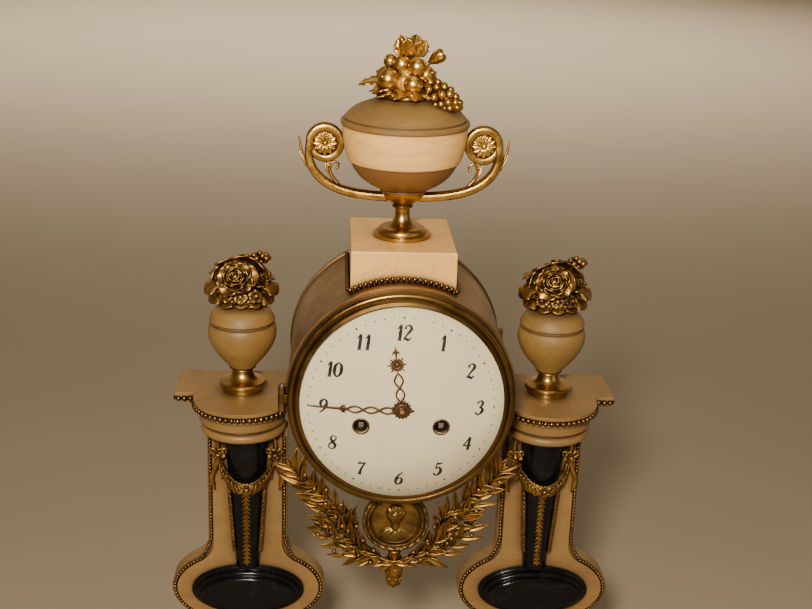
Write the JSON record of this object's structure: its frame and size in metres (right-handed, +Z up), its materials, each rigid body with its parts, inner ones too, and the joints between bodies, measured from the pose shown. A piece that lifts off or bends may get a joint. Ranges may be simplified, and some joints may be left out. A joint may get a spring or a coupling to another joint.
{
  "type": "mantel clock",
  "caption": "Portico mantel clock: a brass drum with enamel dial between two marble pillars, with urns, gilt flowers, bead strings, and a striking pendulum movement inside.",
  "frame": {"origin": "middle of the footprint, on the surface that the clock stands on", "axes": "+Z up, the dial faces -Y, +X to the right of someone reading the dial"},
  "size_m": [0.344, 0.1508, 0.523],
  "materials": {
    "marble": "honed, warm ivory with soft veins",
    "black_marble": "polished",
    "gilt_bronze": "chased, worn fire gilding",
    "case_brass": "aged, satin",
    "movement_brass": "satin",
    "steel": "satin",
    "glass": "clear, domed",
    "enamel": "gloss",
    "bell_bronze": "turned",
    "hand_brass": "pierced, aged"
  },
  "bodies": {
    "root": {"base_slab": "marble", "pillar_blocks": "marble", "pillar_slab_left": "marble", "pillar_slab_right": "marble", "capital_left": "marble", "capital_right": "marble", "side_urn_body_left": "marble", "side_urn_body_right": "marble", "pedestal": "marble", "urn_body": "marble", "urn_lid": "marble", "oval_boss_left": "black_marble", "oval_boss_right": "black_marble", "gaine_left": "black_marble", "gaine_right": "black_marble", "base_feet": "gilt_bronze", "pillar_bead_strips": "gilt_bronze", "column_garlands": "gilt_bronze", "column_drops": "gilt_bronze", "side_bouquet_left": "gilt_bronze", "side_bouquet_right": "gilt_bronze", "urn_handle_left": "gilt_bronze", "urn_handle_right": "gilt_bronze", "side_urn_feet": "gilt_bronze", "capital_bead_strips": "gilt_bronze", "pedestal_bead_strip": "gilt_bronze", "urn_foot": "gilt_bronze", "urn_finial": "gilt_bronze", "medallion": "gilt_bronze", "laurel_sprays": "gilt_bronze", "pendant_tuft": "gilt_bronze", "drum_case": "case_brass", "bezel_hinge_pin": "case_brass", "back_hinge_pin": "case_brass", "dial_plate": "movement_brass", "front_plate": "movement_brass", "back_plate": "movement_brass", "plate_pillars": "movement_brass", "back_cocks": "movement_brass", "tie_rods": "steel", "dial": "enamel", "bell": "bell_bronze"},
    "minute": {"centre_arbor": "movement_brass", "minute_hand": "hand_brass"},
    "hour": {"hour_wheel": "movement_brass", "hour_hand": "hand_brass"},
    "minute_work": {"minute_wheel": "movement_brass"},
    "third": {"third_wheel": "movement_brass"},
    "escape": {"escape_wheel": "movement_brass"},
    "going_barrel": {"going_barrel": "movement_brass"},
    "going_winding": {"going_arbor": "steel"},
    "strike_barrel": {"strike_barrel": "movement_brass"},
    "strike_winding": {"strike_arbor": "steel"},
    "count": {"count_wheel": "movement_brass"},
    "hammer": {"hammer": "steel"},
    "anchor": {"anchor": "steel"},
    "pendulum": {"pendulum": "movement_brass"},
    "bezel_door": {"bezel": "case_brass", "bezel_glass": "glass"},
    "back_door": {"back_door": "case_brass"}
  },
  "joints": [
    {"name": "minute_spin", "type": "hinge", "parent": "root", "child": "minute", "pos_m": [0, 0, 0.277], "axis": [0, 1, 0], "continuous": true},
    {"name": "hour_spin", "type": "hinge", "parent": "root", "child": "hour", "pos_m": [0, 0, 0.277], "axis": [0, 1, 0], "continuous": true},
    {"name": "minute_wheel_spin", "type": "hinge", "parent": "root", "child": "minute_work", "pos_m": [0, 0, 0.2626], "axis": [0, 1, 0], "continuous": true},
    {"name": "third_wheel_spin", "type": "hinge", "parent": "root", "child": "third", "pos_m": [0.009, 0, 0.289], "axis": [0, 1, 0], "continuous": true},
    {"name": "escape_wheel_spin", "type": "hinge", "parent": "root", "child": "escape", "pos_m": [0, 0, 0.301], "axis": [0, 1, 0], "continuous": true},
    {"name": "going_barrel_spin", "type": "hinge", "parent": "root", "child": "going_barrel", "pos_m": [0.0279, 0, 0.2632], "axis": [0, 1, 0], "continuous": true},
    {"name": "going_winding_spin", "type": "hinge", "parent": "root", "child": "going_winding", "pos_m": [0.0279, 0, 0.2632], "axis": [0, 1, 0], "continuous": true},
    {"name": "strike_barrel_spin", "type": "hinge", "parent": "root", "child": "strike_barrel", "pos_m": [-0.0279, 0, 0.2632], "axis": [0, 1, 0], "continuous": true},
    {"name": "strike_winding_spin", "type": "hinge", "parent": "root", "child": "strike_winding", "pos_m": [-0.0279, 0, 0.2632], "axis": [0, 1, 0], "continuous": true},
    {"name": "count_wheel_spin", "type": "hinge", "parent": "root", "child": "count", "pos_m": [-0.0219, 0, 0.2884], "axis": [0, 1, 0], "continuous": true},
    {"name": "pendulum_swing", "type": "hinge", "parent": "root", "child": "pendulum", "pos_m": [0, 0, 0.314], "axis": [0, 1, 0], "range_deg": [-3, 3]},
    {"name": "anchor_rock", "type": "hinge", "parent": "root", "child": "anchor", "pos_m": [0, 0, 0.314], "axis": [0, 1, 0], "range_deg": [-3, 3]},
    {"name": "hammer_lift", "type": "hinge", "parent": "root", "child": "hammer", "pos_m": [0.04, 0, 0.255], "axis": [0, 1, 0], "range_deg": [0, 12], "stiffness_Nm_per_rad": 0.02, "springref_deg": -5.73},
    {"name": "bezel_hinge", "type": "hinge", "parent": "root", "child": "bezel_door", "pos_m": [-0.083, -0.0556, 0.28], "axis": [0, 0, -1], "range_deg": [0, 105]},
    {"name": "back_door_hinge", "type": "hinge", "parent": "root", "child": "back_door", "pos_m": [0.083, 0.0686, 0.28], "axis": [0, 0, -1], "range_deg": [0, 105]}
  ],
  "couplings": [
    {"joint": "hour_spin", "follows": "minute_spin", "ratio": 0.083333},
    {"joint": "minute_wheel_spin", "follows": "minute_spin", "ratio": -0.33333},
    {"joint": "third_wheel_spin", "follows": "minute_spin", "ratio": -4},
    {"joint": "escape_wheel_spin", "follows": "minute_spin", "ratio": 16},
    {"joint": "going_barrel_spin", "follows": "minute_spin", "ratio": -0.2},
    {"joint": "count_wheel_spin", "follows": "strike_barrel_spin", "ratio": -4.2857},
    {"joint": "anchor_rock", "follows": "pendulum_swing", "ratio": 1}
  ]
}
